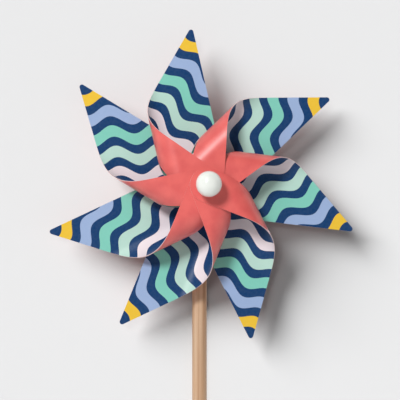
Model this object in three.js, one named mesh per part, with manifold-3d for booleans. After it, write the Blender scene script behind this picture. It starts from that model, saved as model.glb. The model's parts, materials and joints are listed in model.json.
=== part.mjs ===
// A hand pinwheel. Seven equal sheet blades are threaded on one pin by a hole near the root and
// again, after they curl over, by a hole near the tab. The pin is driven into a wooden stick, and a
// round ball holds the wheel on it.
//
// Millimetres. +Z is up along the stick, and the origin is the middle of the stick's bottom end.
// The wheel turns about an axle parallel to Y, and its front looks along -Y.
// In a blade's own flat outline, "along" runs outward from the hub and "across" runs to the side
// that curls.

import * as THREE from 'three';
import { mergeVertices } from 'three/addons/utils/BufferGeometryUtils.js';
import Module from 'manifold-3d';

// Stick and axle
const STICK_LENGTH = 305;
const STICK_DIAMETER = 9.5;
const STICK_CHAMFER = 0.8;
const AXLE_BELOW_TOP = 10;
const PIN_DIAMETER = 2;
const PIN_CHAMFER = 0.3;
const PIN_DEPTH_IN_STICK = 7;
const BALL_DIAMETER = 16.4;
const BALL_FLAT_DIAMETER = 6;
const SOCKET_DEPTH = 9;

// Hub
const BEAD_DIAMETER = 6;
const BEAD_LENGTH = 6;
const BEAD_CHAMFER = 1.2;
const WASHER_DIAMETER = 8;
const WASHER_THICKNESS = 0.8;
const WASHER_CHAMFER = 0.2;
const TUBE_DIAMETER = 5;
const TUBE_LENGTH = 20.8;
const TUBE_CHAMFER = 0.3;

// Blade, flat
const SHEET_THICKNESS = 0.4;
const BLADE_REACH = 104;
const STRAIGHT_EDGE_OFFSET = 16.8;
const ROOT_CORNER_REACH = 34;
const HOLE_SPACING = 64.3;
const LOBE_RADIUS = 11;
const STRIP_ANGLE = THREE.MathUtils.degToRad(50.6);
const NOTCH_RADIUS = 1.5;
const TIP_RADIUS = 1.6;

// Clearances
const GAP = 0.3;
const SLIT_CLEARANCE = 0.25;

// Steps in the curved stretches
const CURL_STEPS = 14;
const LOBE_STEPS = 7;
const CORNER_STEPS = 4;
const ROUND_SEGMENTS = 32;
const SMALL_ROUND_SEGMENTS = 24;
const SHORTEST_STEP = 0.05;
// The tab's round end stops short of a point, as a sheet of one thickness can't close to one
const TAB_END_TURN = THREE.MathUtils.degToRad(83.7);

// Direction of each blade round the hub, in degrees, counter-clockwise from +X seen from the front.
// The spacing is a little uneven, as it is on a wheel threaded by hand.
const BLADES = [
  { name: 'blade_1', direction: 102.9 },
  { name: 'blade_2', direction: 43.8 },
  { name: 'blade_3', direction: -6.5 },
  { name: 'blade_4', direction: -63 },
  { name: 'blade_5', direction: -112.1 },
  { name: 'blade_6', direction: -154.6 },
  { name: 'blade_7', direction: 149.2 },
];
// Which blade lies where in each stack, from the front to the back
const ROOT_ORDER = [1, 7, 6, 5, 4, 3, 2];
const TAB_ORDER = [4, 5, 6, 7, 1, 2, 3];

const PRINT_COLOUR = 0x2b6f9e;
const WOOD_COLOUR = 0xd7b48c;
const BALL_COLOUR = 0xebeee6;
const HUB_COLOUR = 0xe9e4dc;
const STEEL_COLOUR = 0xb9bcc0;

// Places along the axle, measured forward from the stick's middle
const LAYER_PITCH = SHEET_THICKNESS + GAP;
const STACK_DEPTH = BLADES.length * LAYER_PITCH - GAP;
const PIN_HOLE_RADIUS = PIN_DIAMETER / 2 + GAP;
const BEAD_BACK = STICK_DIAMETER / 2 + GAP;
const REAR_WASHER_BACK = BEAD_BACK + BEAD_LENGTH + GAP;
const ROOT_STACK_BACK = REAR_WASHER_BACK + WASHER_THICKNESS + GAP;
const TUBE_BACK = ROOT_STACK_BACK + STACK_DEPTH + GAP;
const TAB_STACK_BACK = TUBE_BACK + TUBE_LENGTH + GAP;
const FRONT_WASHER_BACK = TAB_STACK_BACK + STACK_DEPTH + GAP;
const BALL_BACK = FRONT_WASHER_BACK + WASHER_THICKNESS + GAP;
const STICK_HOLE_END = STICK_DIAMETER / 2 - PIN_DEPTH_IN_STICK;
const PIN_FRONT = BALL_BACK + SOCKET_DEPTH - GAP;
const PIN_BACK = STICK_HOLE_END + GAP;

const wasm = await Module();
wasm.setup();

const printedSheet = new THREE.MeshStandardMaterial({ color: PRINT_COLOUR, roughness: 0.4 });
const wood = new THREE.MeshStandardMaterial({ color: WOOD_COLOUR, roughness: 0.65 });
const ballPlastic = new THREE.MeshStandardMaterial({ color: BALL_COLOUR, roughness: 0.2 });
const hubPlastic = new THREE.MeshStandardMaterial({ color: HUB_COLOUR, roughness: 0.45 });
const steel = new THREE.MeshStandardMaterial({ color: STEEL_COLOUR, roughness: 0.3, metalness: 1 });

// Joining and cutting

function toManifold(geometry) {
  const bare = geometry.clone();
  bare.deleteAttribute('normal');
  bare.deleteAttribute('uv');
  const merged = mergeVertices(bare, 1e-4);
  return new wasm.Manifold(new wasm.Mesh({
    numProp: 3,
    vertProperties: Float32Array.from(merged.attributes.position.array),
    triVerts: Uint32Array.from(merged.index.array),
  }));
}

function toGeometry(manifold) {
  const mesh = manifold.getMesh();
  const geometry = new THREE.BufferGeometry();
  geometry.setAttribute('position', new THREE.BufferAttribute(mesh.vertProperties, 3));
  geometry.setIndex(new THREE.BufferAttribute(mesh.triVerts, 1));
  geometry.computeVertexNormals();
  return geometry;
}

function cutAway(geometry, cutters) {
  let solid = toManifold(geometry);
  for (const cutter of cutters) {
    solid = solid.subtract(toManifold(cutter));
  }
  return toGeometry(solid);
}

// Round pieces on the axle. A profile is a list of [radius, forward place], from back to front.

function turned(profile, segments) {
  const points = profile.map(([radius, forward]) => new THREE.Vector2(radius, -forward));
  return new THREE.LatheGeometry(points.reverse(), segments);
}

function sleeve(back, length, diameter, chamfer) {
  const front = back + length;
  const outside = diameter / 2;
  return turned([
    [PIN_HOLE_RADIUS, back],
    [outside - chamfer, back],
    [outside, back + chamfer],
    [outside, front - chamfer],
    [outside - chamfer, front],
    [PIN_HOLE_RADIUS, front],
    [PIN_HOLE_RADIUS, back],
  ], SMALL_ROUND_SEGMENTS);
}

function washer(back) {
  return sleeve(back, WASHER_THICKNESS, WASHER_DIAMETER, WASHER_CHAMFER);
}

function pinHole(back, front) {
  const cylinder = new THREE.CylinderGeometry(
    PIN_HOLE_RADIUS, PIN_HOLE_RADIUS, front - back, SMALL_ROUND_SEGMENTS);
  cylinder.translate(0, -(front + back) / 2, 0);
  return cylinder;
}

function axlePin() {
  const radius = PIN_DIAMETER / 2;
  return turned([
    [0, PIN_BACK],
    [radius - PIN_CHAMFER, PIN_BACK],
    [radius, PIN_BACK + PIN_CHAMFER],
    [radius, PIN_FRONT - PIN_CHAMFER],
    [radius - PIN_CHAMFER, PIN_FRONT],
    [0, PIN_FRONT],
  ], SMALL_ROUND_SEGMENTS);
}

// A ball with a small flat where it faces the washer, and a blind socket for the pin
function frontBall() {
  const radius = BALL_DIAMETER / 2;
  const startAngle = Math.asin(BALL_FLAT_DIAMETER / BALL_DIAMETER);
  const middle = BALL_BACK + radius * Math.cos(startAngle);
  const profile = [
    [0, BALL_BACK + SOCKET_DEPTH],
    [PIN_HOLE_RADIUS, BALL_BACK + SOCKET_DEPTH],
    [PIN_HOLE_RADIUS, BALL_BACK],
  ];
  const steps = ROUND_SEGMENTS / 2;
  for (let step = 0; step < steps; step += 1) {
    const angle = startAngle + (Math.PI - startAngle) * step / steps;
    profile.push([radius * Math.sin(angle), middle - radius * Math.cos(angle)]);
  }
  profile.push([0, middle + radius]);
  return turned(profile, ROUND_SEGMENTS);
}

function stick() {
  const radius = STICK_DIAMETER / 2;
  const dowel = new THREE.LatheGeometry([
    new THREE.Vector2(0, 0),
    new THREE.Vector2(radius - STICK_CHAMFER, 0),
    new THREE.Vector2(radius, STICK_CHAMFER),
    new THREE.Vector2(radius, STICK_LENGTH - STICK_CHAMFER),
    new THREE.Vector2(radius - STICK_CHAMFER, STICK_LENGTH),
    new THREE.Vector2(0, STICK_LENGTH),
  ], ROUND_SEGMENTS);
  dowel.rotateX(Math.PI / 2);
  const hole = pinHole(STICK_HOLE_END, STICK_DIAMETER);
  hole.translate(0, 0, STICK_LENGTH - AXLE_BELOW_TOP);
  return cutAway(dowel, [hole]);
}

// Blade outline, flat. The far edge runs straight from the tip to the tab's lobe, and touches it.
// Two strips join the lobes to the blade, and meet in a rounded notch halfway between the holes.

const tip = new THREE.Vector2(-STRAIGHT_EDGE_OFFSET, BLADE_REACH);
const tabHole = new THREE.Vector2(HOLE_SPACING, 0);
const tipToTab = tabHole.clone().sub(tip);
const farEdgeAngle = tipToTab.angle() - 2 * Math.PI + Math.asin(LOBE_RADIUS / tipToTab.length());
const farEdgeSlope = Math.tan(farEdgeAngle);
const farEdgeEnd = HOLE_SPACING - LOBE_RADIUS * Math.sin(farEdgeAngle);

// The tip is rounded between the straight edge and the far edge
const tipHalfAngle = (Math.PI / 2 + farEdgeAngle) / 2;
const tipCentre = new THREE.Vector2(
  tip.x + TIP_RADIUS, tip.y - TIP_RADIUS / Math.tan(tipHalfAngle));

// The root's straight side touches the root lobe
const rootCorner = new THREE.Vector2(-STRAIGHT_EDGE_OFFSET, ROOT_CORNER_REACH);
const rootSideAngle = rootCorner.clone().negate().angle() - 2 * Math.PI
  - Math.asin(LOBE_RADIUS / rootCorner.length());
const rootSideEnd = LOBE_RADIUS * Math.sin(rootSideAngle);

// The notch is an arc that touches both strips
const stripStart = LOBE_RADIUS * Math.sin(STRIP_ANGLE);
const notchHalfWidth = NOTCH_RADIUS * Math.sin(STRIP_ANGLE);
const stripEndAlong = Math.tan(STRIP_ANGLE) * (HOLE_SPACING / 2 - notchHalfWidth - stripStart)
  - LOBE_RADIUS * Math.cos(STRIP_ANGLE);
const notchCentreAlong = stripEndAlong - NOTCH_RADIUS * Math.cos(STRIP_ANGLE);

function farEdge(across) {
  if (across < tipCentre.x + TIP_RADIUS * Math.sin(-farEdgeAngle)) {
    const fromCentre = across - tipCentre.x;
    return tipCentre.y + Math.sqrt(Math.max(TIP_RADIUS ** 2 - fromCentre ** 2, 0));
  }
  if (across < farEdgeEnd) {
    return tip.y + farEdgeSlope * (across - tip.x);
  }
  return Math.sqrt(Math.max(LOBE_RADIUS ** 2 - (across - HOLE_SPACING) ** 2, 0));
}

function nearEdgeOfRoot(across) {
  if (across < rootSideEnd) {
    return rootCorner.y + Math.tan(rootSideAngle) * (across - rootCorner.x);
  }
  if (across < stripStart) {
    return -Math.sqrt(Math.max(LOBE_RADIUS ** 2 - across ** 2, 0));
  }
  const middle = HOLE_SPACING / 2;
  if (across < middle - notchHalfWidth) {
    return Math.tan(STRIP_ANGLE) * (across - stripStart) - LOBE_RADIUS * Math.cos(STRIP_ANGLE);
  }
  return notchCentreAlong + Math.sqrt(Math.max(NOTCH_RADIUS ** 2 - (across - middle) ** 2, 0));
}

function nearEdgeOfTab(across) {
  const mirrored = HOLE_SPACING - across;
  if (mirrored < stripStart) {
    return -Math.sqrt(Math.max(LOBE_RADIUS ** 2 - mirrored ** 2, 0));
  }
  return nearEdgeOfRoot(mirrored);
}

function nearEdge(across) {
  return across < HOLE_SPACING / 2 ? nearEdgeOfRoot(across) : nearEdgeOfTab(across);
}

// Places across the blade where its outline or its curl needs a vertex
function stations(curl) {
  const places = [tip.x, rootSideEnd, farEdgeEnd];
  for (let step = 1; step <= CORNER_STEPS; step += 1) {
    const share = step / CORNER_STEPS;
    places.push(tipCentre.x - TIP_RADIUS * Math.cos(share * (Math.PI - 2 * tipHalfAngle)));
    places.push(HOLE_SPACING / 2 - notchHalfWidth * share, HOLE_SPACING / 2 + notchHalfWidth * share);
  }
  for (let step = 0; step <= LOBE_STEPS; step += 1) {
    const share = step / LOBE_STEPS;
    const rootTurn = THREE.MathUtils.lerp(rootSideAngle, STRIP_ANGLE, share);
    places.push(LOBE_RADIUS * Math.sin(rootTurn));
    const tabTurn = THREE.MathUtils.lerp(-STRIP_ANGLE, TAB_END_TURN, share);
    places.push(HOLE_SPACING + LOBE_RADIUS * Math.sin(tabTurn));
  }
  for (let step = 0; step <= CURL_STEPS; step += 1) {
    places.push(curl.start + Math.PI * curl.radius * step / CURL_STEPS);
  }
  places.push(HOLE_SPACING / 2);
  places.sort((a, b) => a - b);
  return places.filter((place, index) => index === 0 || place - places[index - 1] > SHORTEST_STEP);
}

// The curl is half a turn between two flats, and both holes come to lie on the axle
function curlBetween(rootForward, tabForward) {
  const radius = (tabForward - rootForward) / 2;
  return { radius, start: (HOLE_SPACING - Math.PI * radius) / 2, rootForward };
}

function rolled(across, outOfSheet, curl) {
  const turn = THREE.MathUtils.clamp((across - curl.start) / curl.radius, 0, Math.PI);
  const pastCurl = Math.max(across - curl.start - Math.PI * curl.radius, 0);
  const flat = Math.min(across, curl.start) - pastCurl;
  return {
    sideways: flat + (curl.radius - outOfSheet) * Math.sin(turn),
    forward: curl.rootForward + curl.radius - (curl.radius - outOfSheet) * Math.cos(turn),
  };
}

// A rolled sheet in the blade's own frame: X along, Z sideways, -Y forward
function rolledSheet(curl, thickness, margin) {
  const places = stations(curl);
  const box = new THREE.BoxGeometry(1, places.length - 1, thickness, 1, places.length - 1, 1);
  const position = box.attributes.position;
  for (let index = 0; index < position.count; index += 1) {
    const across = places[Math.round(position.getY(index) + (places.length - 1) / 2)];
    const isFar = position.getX(index) > 0;
    const along = isFar ? farEdge(across) + margin : nearEdge(across) - margin;
    const { sideways, forward } = rolled(across, position.getZ(index), curl);
    position.setXYZ(index, along, -forward, sideways);
  }
  return box;
}

function stackForward(stackBack, order, blade) {
  const fromBack = BLADES.length - 1 - order.indexOf(blade);
  return stackBack + fromBack * LAYER_PITCH + SHEET_THICKNESS / 2;
}

function bladeCurl(blade) {
  return curlBetween(
    stackForward(ROOT_STACK_BACK, ROOT_ORDER, blade), stackForward(TAB_STACK_BACK, TAB_ORDER, blade));
}

function neighbourInTurn(blade, places) {
  return (blade - 1 + places) % BLADES.length + 1;
}

function directionOf(blade) {
  return THREE.MathUtils.degToRad(BLADES[blade - 1].direction);
}

// Every blade's curl comes forward over the blade beside it, which lies behind it at the root and in
// front of it at the tab. A stack has a first and a last blade, so where the ring of overlaps closes
// that order is reversed, and the blade in the way has a narrow slit that the curl passes through.
function slitCutters(blade) {
  const cutters = [];
  for (const places of [1, 2]) {
    const next = neighbourInTurn(blade, places);
    const inTheWayAtRoot = ROOT_ORDER.indexOf(blade) < ROOT_ORDER.indexOf(next);
    const inTheWayAtTab = TAB_ORDER.indexOf(blade) > TAB_ORDER.indexOf(next);
    if (inTheWayAtRoot || inTheWayAtTab) {
      const wall = rolledSheet(bladeCurl(next), SHEET_THICKNESS + 2 * SLIT_CLEARANCE, SLIT_CLEARANCE);
      wall.rotateY(directionOf(blade) - directionOf(next));
      cutters.push(wall);
    }
  }
  return cutters;
}

function bladeGeometry(blade) {
  const sheet = rolledSheet(bladeCurl(blade), SHEET_THICKNESS, 0);
  const hole = pinHole(0, BALL_BACK);
  return cutAway(sheet, [hole, ...slitCutters(blade)]);
}

// The object

function named(name, geometry, material) {
  const mesh = new THREE.Mesh(geometry, material);
  mesh.name = name;
  return mesh;
}

const wheel = new THREE.Group();
for (const [index, { name }] of BLADES.entries()) {
  const mesh = named(name, bladeGeometry(index + 1), printedSheet);
  mesh.rotation.y = -directionOf(index + 1);
  wheel.add(mesh);
}
wheel.add(
  named('hub_tube', sleeve(TUBE_BACK, TUBE_LENGTH, TUBE_DIAMETER, TUBE_CHAMFER), hubPlastic),
  named('front_washer', washer(FRONT_WASHER_BACK), hubPlastic),
  named('rear_washer', washer(REAR_WASHER_BACK), hubPlastic),
  named('spacer_bead', sleeve(BEAD_BACK, BEAD_LENGTH, BEAD_DIAMETER, BEAD_CHAMFER), hubPlastic),
  named('axle_pin', axlePin(), steel),
  named('front_ball', frontBall(), ballPlastic),
);
wheel.position.z = STICK_LENGTH - AXLE_BELOW_TOP;

const pinwheel = new THREE.Group();
pinwheel.add(named('stick', stick(), wood), wheel);

export default pinwheel;
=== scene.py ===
"""Pinwheel: printed sheet blades, ball and dowel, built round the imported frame. Metres, +Z up the stick."""

import json
import math

import bmesh
import bpy
from mathutils import Matrix, Vector


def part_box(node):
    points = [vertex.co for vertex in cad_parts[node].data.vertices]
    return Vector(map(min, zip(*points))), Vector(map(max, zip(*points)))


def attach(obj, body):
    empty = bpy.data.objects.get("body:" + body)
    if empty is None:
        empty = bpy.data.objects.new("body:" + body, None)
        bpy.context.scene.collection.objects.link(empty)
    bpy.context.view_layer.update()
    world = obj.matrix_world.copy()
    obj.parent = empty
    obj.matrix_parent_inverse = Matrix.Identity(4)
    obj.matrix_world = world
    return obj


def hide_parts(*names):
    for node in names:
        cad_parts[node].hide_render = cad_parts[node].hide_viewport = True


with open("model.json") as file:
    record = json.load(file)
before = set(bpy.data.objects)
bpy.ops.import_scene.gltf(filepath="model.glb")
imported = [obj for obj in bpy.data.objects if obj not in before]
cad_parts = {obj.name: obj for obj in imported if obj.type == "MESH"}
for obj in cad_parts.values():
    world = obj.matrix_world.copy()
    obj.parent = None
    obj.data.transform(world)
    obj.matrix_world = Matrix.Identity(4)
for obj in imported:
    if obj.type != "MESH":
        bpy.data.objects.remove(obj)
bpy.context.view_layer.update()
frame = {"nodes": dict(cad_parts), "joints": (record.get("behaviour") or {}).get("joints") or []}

MM = 0.001

# Camera: a long lens, a little left of the wheel's axis and below it
CAMERA_AZIMUTH = -6.6
CAMERA_ELEVATION = -3.0
CAMERA_DISTANCE = 1.3
FIELD_WIDTH = 0.2588
SENSOR_WIDTH = 36.0
AIM_FROM_HUB = Vector((-0.0014, -0.015, -0.0082))

# Blade outline, flat, in millimetres: "across" runs towards the side that curls, "along" outwards
BLADE_COUNT = 7
SHEET_THICKNESS = 0.4
BLADE_REACH = 104.0
STRAIGHT_EDGE = -16.8
ROOT_CORNER_REACH = 34.0
HOLE_SPACING = 64.3
LOBE_RADIUS = 11.0
STRIP_ANGLE = math.radians(50.6)
NOTCH_RADIUS = 1.5
TIP_RADIUS = 1.6
PIN_HOLE_RADIUS = 1.3
SLIT_CLEARANCE = 0.25
ROOT_ORDER = (1, 7, 6, 5, 4, 3, 2)
TAB_ORDER = (4, 5, 6, 7, 1, 2, 3)

# One unit of the flat sheet's own map, in millimetres
FLAT_MM = 100.0

# Print, flat, in millimetres: waves that run along one direction, stacked across it. The wide line
# has its middle and half width in bands.
WAVE_DIRECTION = math.radians(55.6)
WAVE_LENGTH = 27.8
WAVE_HEIGHT = 3.04
WAVE_PHASE = 5.794
WAVE_PHASE_PER_MM = 0.0284
LINE_PITCH = 13.3
FIRST_LINE = -69.75
LINE_HALF_WIDTH = 2.95
WIDE_LINE = 5.1
WIDE_LINE_HALF_WIDTH = 0.35

# Holes, clearances and roundings, in millimetres
PIN_GAP = 0.3
PIN_ROUNDING = 0.3
BALL_SOCKET_DEPTH = 9.0
SEAM_HEIGHT = 0.05
SEAM_HALF_ANGLE = math.radians(1.2)
STICK_CHAMFER = 0.8

# How finely the pieces are divided, and the angle in degrees past which an edge stays sharp
COLUMN_STEP = 1.0
TIP_COLUMNS = 7
LOBE_COLUMNS = 14
LOBE_COLUMNS_FROM = math.radians(30)
LOBE_COLUMNS_TO = math.radians(87)
ROWS = 20
CAD_TIP_STEPS = 4
CURL_RESOLUTION = 64
HOLE_STEPS = 48
SLEEVE_STEPS = 64
BALL_STEPS = 96
BALL_RINGS = 40
STICK_STEPS = 72
SHEET_SHARP_ANGLE = 40
TURNED_SHARP_ANGLE = 35


def deselect_everything():
    if bpy.context.object and bpy.context.object.mode != "OBJECT":
        bpy.ops.object.mode_set(mode="OBJECT")
    bpy.ops.object.select_all(action="DESELECT")


def make_active(piece):
    deselect_everything()
    piece.select_set(True)
    bpy.context.view_layer.objects.active = piece


def named(name):
    piece = bpy.context.object
    piece.name = name
    piece.data.name = name
    return piece


def apply_modifiers(piece):
    make_active(piece)
    for modifier in list(piece.modifiers):
        bpy.ops.object.modifier_apply(modifier=modifier.name)


def settle(piece):
    """Puts the object's place into its mesh."""
    make_active(piece)
    bpy.ops.object.transform_apply(location=True, rotation=True, scale=True)


def smooth_by_angle(piece, degrees):
    make_active(piece)
    bpy.ops.object.shade_smooth_by_angle(angle=math.radians(degrees))


def copied(piece, name):
    """A copy with its own mesh."""
    twin = piece.copy()
    twin.data = piece.data.copy()
    twin.name = name
    twin.data.name = name
    bpy.context.scene.collection.objects.link(twin)
    return twin


# Where the axle is, from the frame

wheel_joint = next(joint for joint in frame["joints"] if joint["name"] == "wheel_spin")
hub = Vector(wheel_joint["pos_m"])
axle_height = hub.z


# Materials


class Value:
    """A node socket that can be used in arithmetic."""

    def __init__(self, nodes, socket):
        self.nodes = nodes
        self.socket = socket

    def math(self, operation, *others):
        return self.nodes.add("ShaderNodeMath", {"operation": operation}, *([self] + list(others)))

    def __add__(self, other):
        return self.math("ADD", other)

    __radd__ = __add__

    def __sub__(self, other):
        return self.math("SUBTRACT", other)

    def __rsub__(self, other):
        return self.nodes.add("ShaderNodeMath", {"operation": "SUBTRACT"}, other, self)

    def __mul__(self, other):
        return self.math("MULTIPLY", other)

    __rmul__ = __mul__

    def __truediv__(self, other):
        return self.math("DIVIDE", other)

    def sin(self):
        return self.math("SINE")

    def absolute(self):
        return self.math("ABSOLUTE")

    def below(self, limit):
        return self.math("LESS_THAN", limit)

    def largest(self, other):
        return self.math("MAXIMUM", other)


class Finish:
    """A node material with a Principled shader, and short ways to add the nodes that feed it."""

    def __init__(self, name, **constants):
        self.material = bpy.data.materials.new(name)
        self.material.use_nodes = True
        self.tree = self.material.node_tree
        self.shader = self.tree.nodes["Principled BSDF"]
        for socket_name, value in constants.items():
            self.shader.inputs[socket_name.replace("_", " ")].default_value = value

    def add(self, node_type, settings=None, *inputs, output=0, **named_inputs):
        """One node: its settings first, then its sockets by place or by name."""
        node = self.tree.nodes.new(node_type)
        for key, value in (settings or {}).items():
            if key == "ramp":
                self.set_ramp(node.color_ramp, value)
            else:
                setattr(node, key, value)
        sockets = list(enumerate(inputs))
        sockets += [(key.replace("_", " "), value) for key, value in named_inputs.items()]
        for key, value in sockets:
            if value is not None:
                self.connect(value, node.inputs[key])
        return Value(self, node.outputs[output])

    def connect(self, value, socket):
        if isinstance(value, Value):
            self.tree.links.new(value.socket, socket)
        else:
            socket.default_value = value

    def set_ramp(self, ramp, stops):
        ramp.interpolation = "CONSTANT" if stops[0] == "steps" else "LINEAR"
        stops = [stop for stop in stops if stop != "steps"]
        while len(ramp.elements) < len(stops):
            ramp.elements.new(1.0)
        for element, (place, colour) in zip(ramp.elements, stops):
            element.position = place
            element.color = colour

    def feed(self, socket_name, value):
        self.connect(value, self.shader.inputs[socket_name])

    def coordinates(self, scale=(1, 1, 1)):
        place = self.add("ShaderNodeTexCoord", output="Object")
        return self.add("ShaderNodeMapping", None, Vector=place, Scale=scale)

    def flat_coordinates(self):
        """The places on the flat sheet, in tenths of a metre."""
        return self.add("ShaderNodeTexCoord", output="UV")

    def noise(self, place, scale, detail=3.0, roughness=0.5):
        return self.add("ShaderNodeTexNoise", None, Vector=place, Scale=scale, Detail=detail,
                        Roughness=roughness)

    def ramp(self, value, *stops):
        return self.add("ShaderNodeValToRGB", {"ramp": stops}, value)

    def range(self, value, low, high, new_low, new_high):
        return self.add("ShaderNodeMapRange", None, value, low, high, new_low, new_high)

    def mix(self, factor, first, second):
        """Two colours. The five sockets after the factor are for numbers and vectors."""
        unused = [None] * 5
        return self.add("ShaderNodeMix", {"data_type": "RGBA"}, factor, *unused, first, second,
                        output=2)

    def bump(self, height, strength, distance):
        self.feed("Normal", self.add("ShaderNodeBump", None, Strength=strength, Distance=distance,
                                     Height=height))


def linear(red, green, blue):
    """An sRGB colour of 0 to 255 as the linear colour that a shader takes."""
    parts = [part / 255 for part in (red, green, blue)]
    return tuple(p / 12.92 if p <= 0.04045 else ((p + 0.055) / 1.055) ** 2.4 for p in parts) + (1.0,)


NAVY = linear(8, 59, 108)
YELLOW = linear(238, 194, 56)
PERIWINKLE = linear(156, 178, 215)
MINT = linear(130, 205, 187)
PALE_MINT = linear(186, 220, 207)
PALE_PINK = linear(238, 225, 229)
WHITE = linear(255, 255, 255)
DARK_CORAL = linear(222, 90, 87)
LIGHT_CORAL = linear(238, 108, 101)
CUT_EDGE = linear(222, 190, 188)
BANDS = (YELLOW,) + 2 * (PERIWINKLE, MINT, PALE_MINT, PALE_PINK) + (YELLOW, PERIWINKLE)


def printed_face():
    finish = Finish("printed_face", Specular_IOR_Level=0.28, IOR=1.48)
    flat = finish.flat_coordinates()
    across = finish.add("ShaderNodeSeparateXYZ", None, flat, output=0) * FLAT_MM
    along = finish.add("ShaderNodeSeparateXYZ", None, flat, output=1) * FLAT_MM
    forward, sideways = math.cos(WAVE_DIRECTION), math.sin(WAVE_DIRECTION)
    run = across * forward + along * sideways
    rank = across * sideways - along * forward
    wave = (run * (2 * math.pi / WAVE_LENGTH) + rank * WAVE_PHASE_PER_MM + WAVE_PHASE).sin()
    place = (rank - wave * WAVE_HEIGHT - FIRST_LINE) / LINE_PITCH
    steps = [(index / len(BANDS), colour) for index, colour in enumerate(BANDS)]
    band = finish.ramp(place / len(BANDS), "steps", *steps)
    from_line = (place + 0.5).math("FRACT") - 0.5
    ink = from_line.absolute().below(LINE_HALF_WIDTH / LINE_PITCH)
    wide_line = (place - WIDE_LINE).absolute().below(WIDE_LINE_HALF_WIDTH)
    ink = ink.largest(place.below(0.0)).largest(wide_line)
    printed = finish.mix(ink, band, NAVY)
    mottle = finish.noise(flat, 60.0, 4.0)
    printed = finish.mix(finish.range(mottle, 0.3, 0.7, 0.0, 0.015), printed, WHITE)
    finish.feed("Base Color", printed)
    finish.feed("Roughness", finish.range(mottle, 0.3, 0.7, 0.3, 0.38))
    finish.bump(finish.noise(flat, 14.0, 2.0), 0.12, 0.0006)
    return finish.material


def coral_face():
    finish = Finish("coral_face", IOR=1.5, Coat_Weight=0.6, Coat_Roughness=0.33)
    flat = finish.flat_coordinates()
    mottle = finish.noise(flat, 9.0, 4.0)
    fine = finish.noise(flat, 160.0, 2.0)
    finish.feed("Base Color", finish.ramp(mottle, (0.3, DARK_CORAL), (0.7, LIGHT_CORAL)))
    finish.feed("Roughness", finish.range(fine, 0.3, 0.7, 0.36, 0.46))
    finish.bump(finish.noise(flat, 14.0, 2.0), 0.12, 0.0006)
    return finish.material


def cut_edge():
    finish = Finish("cut_edge", Roughness=0.5)
    place = finish.coordinates()
    grain = finish.noise(place, 900.0, 2.0)
    finish.feed("Base Color", finish.mix(grain, CUT_EDGE, linear(234, 212, 210)))
    return finish.material


def dowel_wood():
    finish = Finish("dowel_wood", Roughness=0.6)
    grain_place = finish.coordinates(scale=(420.0, 420.0, 7.0))
    pore_place = finish.coordinates(scale=(1500.0, 1500.0, 28.0))
    blotch_place = finish.coordinates(scale=(60.0, 60.0, 14.0))
    grain = finish.noise(grain_place, 1.0, 5.0, 0.6)
    pores = finish.noise(pore_place, 1.0, 3.0, 0.6)
    blotch = finish.noise(blotch_place, 1.0, 2.0)
    base = finish.ramp(grain, (0.28, linear(158, 119, 87)), (0.5, linear(196, 161, 129)),
                       (0.74, linear(218, 191, 161)))
    toned = finish.mix(finish.range(blotch, 0.35, 0.7, 0.0, 0.35), base, linear(205, 150, 108))
    lined = finish.mix(finish.range(pores, 0.62, 0.72, 0.0, 0.5), toned, linear(150, 100, 66))
    finish.feed("Base Color", lined)
    finish.feed("Roughness", finish.range(grain, 0.3, 0.7, 0.68, 0.5))
    finish.bump(grain * 0.7 + pores * -0.6, 0.35, 0.0002)
    return finish.material


def ball_plastic():
    finish = Finish("ball_plastic", Roughness=0.16, IOR=1.5, Coat_Weight=0.4, Coat_Roughness=0.05)
    place = finish.coordinates()
    cloud = finish.noise(place, 160.0, 3.0)
    finish.feed("Base Color", finish.mix(cloud, linear(233, 238, 230), linear(242, 244, 238)))
    finish.feed("Roughness", finish.range(finish.noise(place, 700.0, 3.0), 0.3, 0.7, 0.12, 0.24))
    return finish.material


def hub_plastic():
    finish = Finish("hub_plastic", Roughness=0.45)
    place = finish.coordinates()
    cloud = finish.noise(place, 300.0, 3.0)
    finish.feed("Base Color", finish.mix(cloud, linear(226, 222, 214), linear(238, 235, 228)))
    finish.bump(finish.noise(place, 2500.0, 2.0), 0.2, 0.00005)
    return finish.material


def pin_steel():
    finish = Finish("pin_steel", Roughness=0.3, Metallic=1.0)
    place = finish.coordinates(scale=(2500.0, 60.0, 2500.0))
    draw_lines = finish.noise(place, 1.0, 3.0)
    finish.feed("Base Color", finish.mix(draw_lines, linear(182, 184, 188), linear(214, 216, 220)))
    finish.feed("Roughness", finish.range(draw_lines, 0.3, 0.7, 0.22, 0.4))
    return finish.material


PRINT = printed_face()
BACK = coral_face()
EDGE = cut_edge()
WOOD = dowel_wood()
BALL = ball_plastic()
HUB = hub_plastic()
STEEL = pin_steel()


# Blade outline: the far edge touches the tab's lobe, two strips meet in a rounded notch

tab_distance = math.hypot(HOLE_SPACING - STRAIGHT_EDGE, BLADE_REACH)
far_angle = (math.asin(LOBE_RADIUS / tab_distance)
             - math.atan2(BLADE_REACH, HOLE_SPACING - STRAIGHT_EDGE))
far_slope = math.tan(far_angle)
far_end = HOLE_SPACING - LOBE_RADIUS * math.sin(far_angle)
tip_across = STRAIGHT_EDGE + TIP_RADIUS
tip_along = BLADE_REACH - TIP_RADIUS / math.tan((math.pi / 2 + far_angle) / 2)
root_corner_distance = math.hypot(STRAIGHT_EDGE, ROOT_CORNER_REACH)
root_angle = (-math.atan2(ROOT_CORNER_REACH, -STRAIGHT_EDGE)
              - math.asin(LOBE_RADIUS / root_corner_distance))
root_side_end = LOBE_RADIUS * math.sin(root_angle)
strip_start = LOBE_RADIUS * math.sin(STRIP_ANGLE)
strip_drop = LOBE_RADIUS * math.cos(STRIP_ANGLE)
notch_half_width = NOTCH_RADIUS * math.sin(STRIP_ANGLE)
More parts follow.
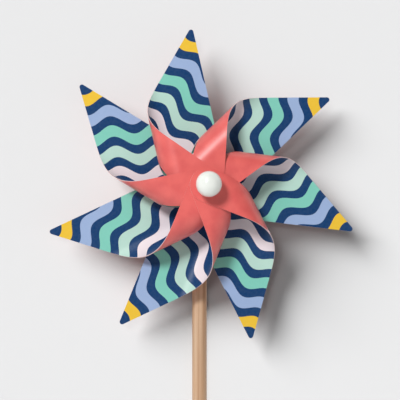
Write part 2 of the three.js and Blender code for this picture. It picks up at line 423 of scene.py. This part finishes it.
notch_middle = (math.tan(STRIP_ANGLE) * (HOLE_SPACING / 2 - notch_half_width - strip_start)
                - strip_drop - NOTCH_RADIUS * math.cos(STRIP_ANGLE))


def arc_height(radius, offset):
    return math.sqrt(max(radius ** 2 - offset ** 2, 0.0))


def far_edge(across):
    if across < tip_across - TIP_RADIUS * math.sin(far_angle):
        return tip_along + arc_height(TIP_RADIUS, across - tip_across)
    if across < far_end:
        return BLADE_REACH + far_slope * (across - STRAIGHT_EDGE)
    return arc_height(LOBE_RADIUS, across - HOLE_SPACING)


def near_edge(across):
    mirrored = min(across, HOLE_SPACING - across)
    if across < root_side_end:
        return ROOT_CORNER_REACH + math.tan(root_angle) * (across - STRAIGHT_EDGE)
    if mirrored < strip_start:
        return -arc_height(LOBE_RADIUS, mirrored)
    if mirrored < HOLE_SPACING / 2 - notch_half_width:
        return math.tan(STRIP_ANGLE) * (mirrored - strip_start) - strip_drop
    return notch_middle + arc_height(NOTCH_RADIUS, HOLE_SPACING / 2 - across)


def column_places():
    """Where the sheet's columns lie: close together round the tip and at the tab's end."""
    tip_end = tip_across - TIP_RADIUS * math.sin(far_angle)
    turn = math.pi / 2 - far_angle
    places = [tip_across - TIP_RADIUS * math.cos(turn * step / TIP_COLUMNS)
              for step in range(TIP_COLUMNS)]
    last_even = HOLE_SPACING + LOBE_RADIUS * math.sin(LOBE_COLUMNS_FROM)
    count = round((last_even - tip_end) / COLUMN_STEP)
    places += [tip_end + (last_even - tip_end) * step / count for step in range(count)]
    for step in range(LOBE_COLUMNS):
        share = step / (LOBE_COLUMNS - 1)
        angle = LOBE_COLUMNS_FROM + (LOBE_COLUMNS_TO - LOBE_COLUMNS_FROM) * share
        places.append(HOLE_SPACING + LOBE_RADIUS * math.sin(angle))
    return places


def flat_sheet():
    """A grid whose columns are moved and stretched one by one to fill the blade's outline."""
    places = column_places()
    deselect_everything()
    bpy.ops.mesh.primitive_grid_add(x_subdivisions=len(places) - 1, y_subdivisions=ROWS, size=2,
                                    location=(0, 0, 0))
    sheet = named("flat_sheet")
    bpy.ops.object.mode_set(mode="EDIT")
    bpy.ops.mesh.select_mode(type="VERT")
    last = len(places) - 1
    mesh = bmesh.from_edit_mesh(sheet.data)
    columns = [[] for _ in places]
    for vertex in mesh.verts:
        columns[round((vertex.co.x + 1) / 2 * last)].append(vertex.index)
    for index, across in enumerate(places):
        bpy.ops.mesh.select_all(action="DESELECT")
        mesh = bmesh.from_edit_mesh(sheet.data)
        mesh.verts.ensure_lookup_table()
        for vertex_index in columns[index]:
            mesh.verts[vertex_index].select_set(True)
        bmesh.update_edit_mesh(sheet.data)
        start = -1 + 2 * index / last
        near, far = near_edge(across) * MM, far_edge(across) * MM
        bpy.ops.transform.resize(value=(1, (far - near) / 2, 1), center_override=(start, 0, 0))
        bpy.ops.transform.translate(value=(across * MM - start, (near + far) / 2, 0))
    bpy.ops.object.mode_set(mode="OBJECT")
    uv = sheet.data.uv_layers.active or sheet.data.uv_layers.new(name="flat")
    for loop in sheet.data.loops:
        place = sheet.data.vertices[loop.vertex_index].co
        uv.data[loop.index].uv = (place.x / (FLAT_MM * MM), place.y / (FLAT_MM * MM))
    return sheet


# Curling: the flat sheet is bent along a path of flat, half turn, flat, seen from the blade's end

PATH_START = -20.0
PATH_END = -24.0
ROUND_HANDLE = 0.5523


def curl_path(radius):
    """The path across a blade, in the plane of sideways and forward, in metres."""
    start = (HOLE_SPACING - math.pi * radius) / 2
    reach = ROUND_HANDLE * radius
    far = start + radius
    knots = [
        ((PATH_START, 0), (PATH_START - 1, 0), (PATH_START + 1, 0)),
        ((start, 0), (start - 1, 0), (start + reach, 0)),
        ((far, radius), (far, radius - reach), (far, radius + reach)),
        ((start, 2 * radius), (start + reach, 2 * radius), (start - 1, 2 * radius)),
        ((PATH_END, 2 * radius), (PATH_END + 1, 2 * radius), (PATH_END - 1, 2 * radius)),
    ]
    deselect_everything()
    bpy.ops.curve.primitive_bezier_curve_add(location=(0, 0, 0))
    path = named("curl_path")
    path.data.dimensions = "2D"
    path.data.resolution_u = CURL_RESOLUTION
    spline = path.data.splines[0]
    spline.bezier_points.add(len(knots) - len(spline.bezier_points))
    for point, places in zip(spline.bezier_points, knots):
        point.handle_left_type = point.handle_right_type = "FREE"
        point.co, point.handle_left, point.handle_right = [
            (x * MM, y * MM, 0) for x, y in places]
    return path


def blade_places(number):
    """A blade's direction and the forward places of its root and tab, read from its CAD node."""
    name = f"blade_{number}"
    node = frame["nodes"][name]
    low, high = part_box(name)
    half = SHEET_THICKNESS / 2
    root_forward = -high.y / MM - half
    tab_forward = -low.y / MM - half
    tip = max((vertex.co - hub for vertex in node.data.vertices), key=lambda p: math.hypot(p.x, p.z))
    turn = math.pi / 2 - far_angle
    corners = []
    for step in range(CAD_TIP_STEPS + 1):
        across = tip_across - TIP_RADIUS * math.cos(turn * step / CAD_TIP_STEPS)
        corners.append((math.hypot(across, far_edge(across)), math.atan2(across, far_edge(across))))
    direction = math.atan2(tip.z, tip.x) - max(corners)[1]
    return direction, root_forward, tab_forward


def rolled_sheet(flat, number, thickness, name):
    """One blade: the flat sheet curled along its path, thickened and turned to its place."""
    direction, root_forward, tab_forward = blade_places(number)
    sheet = copied(flat, name)
    sheet.rotation_euler = (math.pi / 2, 0, 0)
    sheet.location = (-PATH_START * MM, 0, 0)
    settle(sheet)
    path = curl_path((tab_forward - root_forward) / 2)
    bend = sheet.modifiers.new("curl", "CURVE")
    bend.object = path
    bend.deform_axis = "POS_X"
    thick = sheet.modifiers.new("thickness", "SOLIDIFY")
    thick.thickness = thickness * MM
    thick.offset = 0
    thick.use_even_offset = True
    thick.material_offset = 1
    thick.material_offset_rim = 2
    for material in (BACK, PRINT, EDGE):
        sheet.data.materials.append(material)
    apply_modifiers(sheet)
    bpy.data.objects.remove(path)
    outward = Vector((math.cos(direction), 0, math.sin(direction)))
    sideways = Vector((-math.sin(direction), 0, math.cos(direction)))
    turn = Matrix((sideways, (0, -1, 0), outward)).transposed()
    place = Vector((0, -root_forward * MM, axle_height))
    sheet.matrix_world = Matrix.Translation(place) @ turn.to_4x4()
    settle(sheet)
    return sheet


def cut(piece, cutter):
    make_active(piece)
    opening = piece.modifiers.new("cut", "BOOLEAN")
    opening.operation = "DIFFERENCE"
    opening.solver = "EXACT"
    opening.material_mode = "TRANSFER"
    opening.object = cutter
    bpy.ops.object.modifier_apply(modifier=opening.name)
    bpy.data.objects.remove(cutter)


def pin_drill():
    deselect_everything()
    bpy.ops.mesh.primitive_cylinder_add(vertices=HOLE_STEPS, radius=PIN_HOLE_RADIUS * MM, depth=0.12,
                                        location=(0, 0, axle_height), rotation=(math.pi / 2, 0, 0))
    drill = named("pin_drill")
    drill.data.materials.append(EDGE)
    settle(drill)
    return drill


def blocked_curls(number):
    """The blades whose curl has to come forward through this one, where the ring closes."""
    for step in (1, 2):
        after = (number - 1 + step) % BLADE_COUNT + 1
        at_root = ROOT_ORDER.index(number) < ROOT_ORDER.index(after)
        at_tab = TAB_ORDER.index(number) > TAB_ORDER.index(after)
        if at_root or at_tab:
            yield after


def build_blades():
    flat = flat_sheet()
    for number in range(1, BLADE_COUNT + 1):
        blade = rolled_sheet(flat, number, SHEET_THICKNESS, f"printed_blade_{number}")
        cut(blade, pin_drill())
        for after in blocked_curls(number):
            slit = rolled_sheet(flat, after, SHEET_THICKNESS + 2 * SLIT_CLEARANCE, "slit")
            for index in range(3):
                slit.data.materials[index] = EDGE
            cut(blade, slit)
        smooth_by_angle(blade, SHEET_SHARP_ANGLE)
        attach(blade, "wheel")
        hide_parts(f"blade_{number}")
    bpy.data.objects.remove(flat)


# Turned pieces round the axle: a profile of (radius, forward) in millimetres is spun once round

def turned(name, profile, steps, material):
    deselect_everything()
    bpy.ops.mesh.primitive_plane_add(size=0.001, location=(0, 0, 0))
    piece = named(name)
    bpy.ops.object.mode_set(mode="EDIT")
    bpy.ops.mesh.select_all(action="SELECT")
    bpy.ops.mesh.merge(type="CENTER")
    radius, forward = profile[0]
    bpy.ops.transform.translate(value=(radius * MM, -forward * MM, axle_height))
    for before, after in zip(profile, profile[1:]):
        move = ((after[0] - before[0]) * MM, (before[1] - after[1]) * MM, 0)
        bpy.ops.mesh.extrude_region_move(TRANSFORM_OT_translate={"value": move})
    bpy.ops.mesh.select_all(action="SELECT")
    bpy.ops.mesh.spin(steps=steps, angle=2 * math.pi, center=(0, 0, axle_height), axis=(0, 1, 0))
    bpy.ops.mesh.select_all(action="SELECT")
    bpy.ops.mesh.remove_doubles(threshold=1e-6)
    bpy.ops.mesh.normals_make_consistent(inside=False)
    bpy.ops.object.mode_set(mode="OBJECT")
    piece.data.materials.append(material)
    smooth_by_angle(piece, TURNED_SHARP_ANGLE)
    return piece


def rounded(corner, towards_before, towards_after, radius, steps=4):
    """An arc in place of a square corner between two unit directions that lead away from it."""
    centre = [c + radius * (a + b) for c, a, b in zip(corner, towards_before, towards_after)]
    points = []
    for step in range(steps + 1):
        angle = math.pi / 2 * step / steps
        points.append(tuple(c - radius * (a * math.sin(angle) + b * math.cos(angle))
                            for c, a, b in zip(centre, towards_before, towards_after)))
    return points


def forward_span(node):
    low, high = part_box(node)
    return -high.y / MM, -low.y / MM


def sleeve(name, node, rounding):
    """A tube with rounded outer ends, in the place of its CAD node."""
    low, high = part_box(node)
    back, front = forward_span(node)
    radius = (high.x - low.x) / 2 / MM
    profile = [(PIN_HOLE_RADIUS, back)]
    profile += rounded((radius, back), (-1, 0), (0, 1), rounding)
    profile += rounded((radius, front), (0, -1), (-1, 0), rounding)
    profile += [(PIN_HOLE_RADIUS, front), (PIN_HOLE_RADIUS, back)]
    piece = turned(name, profile, SLEEVE_STEPS, HUB)
    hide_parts(node)
    return piece


def build_hub():
    for name, node, rounding, body in (
            ("hub_tube_round", "hub_tube", 0.3, "wheel"),
            ("front_washer_round", "front_washer", 0.25, "wheel"),
            ("rear_washer_round", "rear_washer", 0.25, "wheel"),
            ("spacer_bead_round", "spacer_bead", 1.6, "bead")):
        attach(sleeve(name, node, rounding), body)


def build_pin():
    back, front = forward_span("axle_pin")
    low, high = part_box("axle_pin")
    radius = (high.x - low.x) / 2 / MM
    profile = [(0, back)]
    profile += rounded((radius, back), (-1, 0), (0, 1), PIN_ROUNDING)
    profile += rounded((radius, front), (0, -1), (-1, 0), PIN_ROUNDING)
    profile += [(0, front)]
    pin = turned("axle_pin_drawn", profile, HOLE_STEPS, STEEL)
    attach(pin, "stick")
    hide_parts("axle_pin")


def build_ball():
    """The ball has a small flat and a socket at the back, and a faint moulding seam round it."""
    low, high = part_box("front_ball")
    back, front = forward_span("front_ball")
    radius = (high.x - low.x) / 2 / MM
    middle = front - radius
    start = math.acos((middle - back) / radius)
    angles = [start + (math.pi - start) * step / BALL_RINGS for step in range(BALL_RINGS + 1)]
    seam = math.pi / 2
    angles = [a for a in angles if abs(a - seam) > 2 * SEAM_HALF_ANGLE]
    angles += [seam - SEAM_HALF_ANGLE, seam, seam + SEAM_HALF_ANGLE]
    profile = [(0, back + BALL_SOCKET_DEPTH), (PIN_HOLE_RADIUS, back + BALL_SOCKET_DEPTH),
               (PIN_HOLE_RADIUS, back)]
    for angle in sorted(angles):
        reach = radius + (SEAM_HEIGHT if angle == seam else 0)
        profile.append((reach * math.sin(angle), middle - reach * math.cos(angle)))
    profile[-1] = (0, middle + radius)
    ball = turned("front_ball_round", profile, BALL_STEPS, BALL)
    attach(ball, "stick")
    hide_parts("front_ball")


def build_stick():
    """A dowel with softened cut ends, drilled from the front for the pin."""
    low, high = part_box("stick")
    radius = (high.x - low.x) / 2
    height = high.z - low.z
    deselect_everything()
    bpy.ops.mesh.primitive_cylinder_add(vertices=STICK_STEPS, radius=radius, depth=height,
                                        location=(0, 0, low.z + height / 2))
    stick = named("dowel")
    settle(stick)
    bpy.ops.object.mode_set(mode="EDIT")
    bpy.ops.mesh.select_mode(type="EDGE")
    bpy.ops.mesh.select_all(action="DESELECT")
    mesh = bmesh.from_edit_mesh(stick.data)
    for edge in mesh.edges:
        if abs(edge.verts[0].co.z - edge.verts[1].co.z) < height / 2:
            edge.select_set(True)
    bmesh.update_edit_mesh(stick.data)
    bpy.ops.mesh.bevel(offset=STICK_CHAMFER * MM, segments=4, profile=0.6, affect="EDGES")
    bpy.ops.object.mode_set(mode="OBJECT")
    stick.data.materials.append(WOOD)
    pin_back, _ = forward_span("axle_pin")
    depth = radius * 2
    deselect_everything()
    bpy.ops.mesh.primitive_cylinder_add(
        vertices=HOLE_STEPS, radius=PIN_HOLE_RADIUS * MM, depth=depth,
        location=(0, -(pin_back - PIN_GAP) * MM - depth / 2, axle_height),
        rotation=(math.pi / 2, 0, 0))
    drill = named("stick_drill")
    drill.data.materials.append(WOOD)
    settle(drill)
    cut(stick, drill)
    smooth_by_angle(stick, TURNED_SHARP_ANGLE)
    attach(stick, "stick")
    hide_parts("stick")


build_blades()
build_hub()
build_pin()
build_ball()
build_stick()


# Stage: a pale floor, and a pale wall right behind the stick that shows only from the front

WALL_GAP = 0.0006
WALL_SIZE = 6.0
FLOOR_SIZE = 8.0
FLOOR_DROP = 0.0005
PAPER_COLOUR = (0.35, 0.35, 0.352, 1)
LIGHT_DISTANCE = 2.0
KEY_DIRECTION = Vector((-0.52, -1.0, 0.5))
KEY_SIZE = 0.5
KEY_POWER = 30.0
TOP_DIRECTION = Vector((-0.36, -0.6, 0.78))
TOP_SIZE = 0.8
TOP_POWER = 3.5
PAPER_DIRECTION = Vector((-1.15, -1.0, 0.8))
PAPER_POWER = 10.1
PAPER_ANGLE = math.radians(35)
FRONT_DIRECTION = Vector((-0.3, -1.0, 0.15))
FRONT_POWER = 0.6
FRONT_ANGLE = math.radians(12)
FILL_DIRECTION = Vector((0.7, -1.0, 0.8))
FILL_SIZE = 1.0
FILL_POWER = 0.8
BACK_DIRECTION = Vector((0.7, 1.0, 0.5))
BACK_SIZE = 1.2
BACK_POWER = 12.0
WORLD_COLOUR = (0.95, 0.97, 1.0, 1)
WORLD_STRENGTH = 0.08
WORLD_SEEN = 0.7


def paper(name, one_sided):
    finish = Finish(name, Roughness=0.9, Specular_IOR_Level=0.0, Base_Color=PAPER_COLOUR)
    if one_sided:
        facing_back = finish.add("ShaderNodeNewGeometry", output="Backfacing")
        clear = finish.add("ShaderNodeBsdfTransparent")
        front = Value(finish, finish.shader.outputs[0])
        choice = finish.add("ShaderNodeMixShader", None, facing_back, front, clear)
        finish.connect(choice, finish.tree.nodes["Material Output"].inputs[0])
    return finish.material


def build_stage():
    _, stick_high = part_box("stick")
    deselect_everything()
    bpy.ops.mesh.primitive_plane_add(size=WALL_SIZE, location=(0, stick_high.y + WALL_GAP, 2.9),
                                     rotation=(math.pi / 2, 0, 0))
    wall = named("backdrop")
    settle(wall)
    wall.data.materials.append(paper("backdrop_paper", one_sided=True))
    deselect_everything()
    bpy.ops.mesh.primitive_plane_add(size=FLOOR_SIZE, location=(0, 0, -FLOOR_DROP))
    floor = named("floor")
    settle(floor)
    floor.data.materials.append(paper("floor_paper", one_sided=False))
    return wall, floor


def light(name, kind, direction, power, **settings):
    """A lamp that shines on the hub; the direction is the one from the hub to the lamp."""
    deselect_everything()
    place = Vector((0, 0, axle_height)) + direction.normalized() * LIGHT_DISTANCE
    bpy.ops.object.light_add(type=kind, location=place)
    lamp = named(name)
    lamp.data.energy = power
    for key, value in settings.items():
        setattr(lamp.data, key, value)
    lamp.rotation_mode = "QUATERNION"
    lamp.rotation_quaternion = direction.to_track_quat("Z", "Y")
    return lamp


def linked(name, pieces, state):
    """A light-linking group in which these pieces are the only ones lit, or the only ones left out."""
    group = bpy.data.collections.new(name)
    for piece in pieces:
        group.objects.link(piece)
    for member in group.collection_objects:
        member.light_linking.link_state = state
    return group


def softbox(name, direction, power, size):
    return light(name, "AREA", direction, power, shape="DISK", size=size)


def build_lights(stage):
    """Four softboxes for the object, and two parallel lights that fall only on the stage."""
    key = softbox("key", KEY_DIRECTION, KEY_POWER, KEY_SIZE)
    top = softbox("top", TOP_DIRECTION, TOP_POWER, TOP_SIZE)
    fill = softbox("fill", FILL_DIRECTION, FILL_POWER, FILL_SIZE)
    behind = softbox("behind", BACK_DIRECTION, BACK_POWER, BACK_SIZE)
    object_only = linked("not_the_stage", stage, "EXCLUDE")
    for lamp in (key, top, fill, behind):
        lamp.light_linking.receiver_collection = object_only
    behind.light_linking.blocker_collection = object_only
    behind.data.cycles.max_bounces = 0
    main = light("paper_light", "SUN", PAPER_DIRECTION, PAPER_POWER, angle=PAPER_ANGLE)
    front = light("paper_front_light", "SUN", FRONT_DIRECTION, FRONT_POWER, angle=FRONT_ANGLE)
    stage_only = linked("stage_only", stage, "INCLUDE")
    main.light_linking.receiver_collection = stage_only
    front.light_linking.receiver_collection = stage_only
    stick = [bpy.data.objects["dowel"]]
    main.light_linking.blocker_collection = linked("all_but_the_dowel", stick, "EXCLUDE")


def build_surroundings():
    """Plain air that lights the object faintly, and looks pale where it shows behind it."""
    world = bpy.data.worlds.new("studio")
    world.use_nodes = True
    air = world.node_tree.nodes["Background"]
    air.inputs[0].default_value = WORLD_COLOUR
    seen = world.node_tree.nodes.new("ShaderNodeLightPath")
    strength = world.node_tree.nodes.new("ShaderNodeMapRange")
    strength.inputs["To Min"].default_value = WORLD_STRENGTH
    strength.inputs["To Max"].default_value = WORLD_SEEN
    links = world.node_tree.links
    links.new(seen.outputs["Is Camera Ray"], strength.inputs["Value"])
    links.new(strength.outputs[0], air.inputs[1])
    bpy.context.scene.world = world


def build_camera():
    azimuth, elevation = math.radians(CAMERA_AZIMUTH), math.radians(CAMERA_ELEVATION)
    back = Vector((math.sin(azimuth) * math.cos(elevation),
                   -math.cos(azimuth) * math.cos(elevation), math.sin(elevation)))
    deselect_everything()
    bpy.ops.object.camera_add(location=Vector((0, 0, axle_height)) + AIM_FROM_HUB
                              + back * CAMERA_DISTANCE)
    camera = bpy.context.object
    camera.rotation_mode = "QUATERNION"
    camera.rotation_quaternion = (-back).to_track_quat("-Z", "Y")
    camera.data.sensor_width = SENSOR_WIDTH
    camera.data.lens = SENSOR_WIDTH * CAMERA_DISTANCE / FIELD_WIDTH
    bpy.context.scene.camera = camera


build_lights(build_stage())
build_surroundings()
build_camera()
bpy.context.scene.view_settings.view_transform = "Standard"
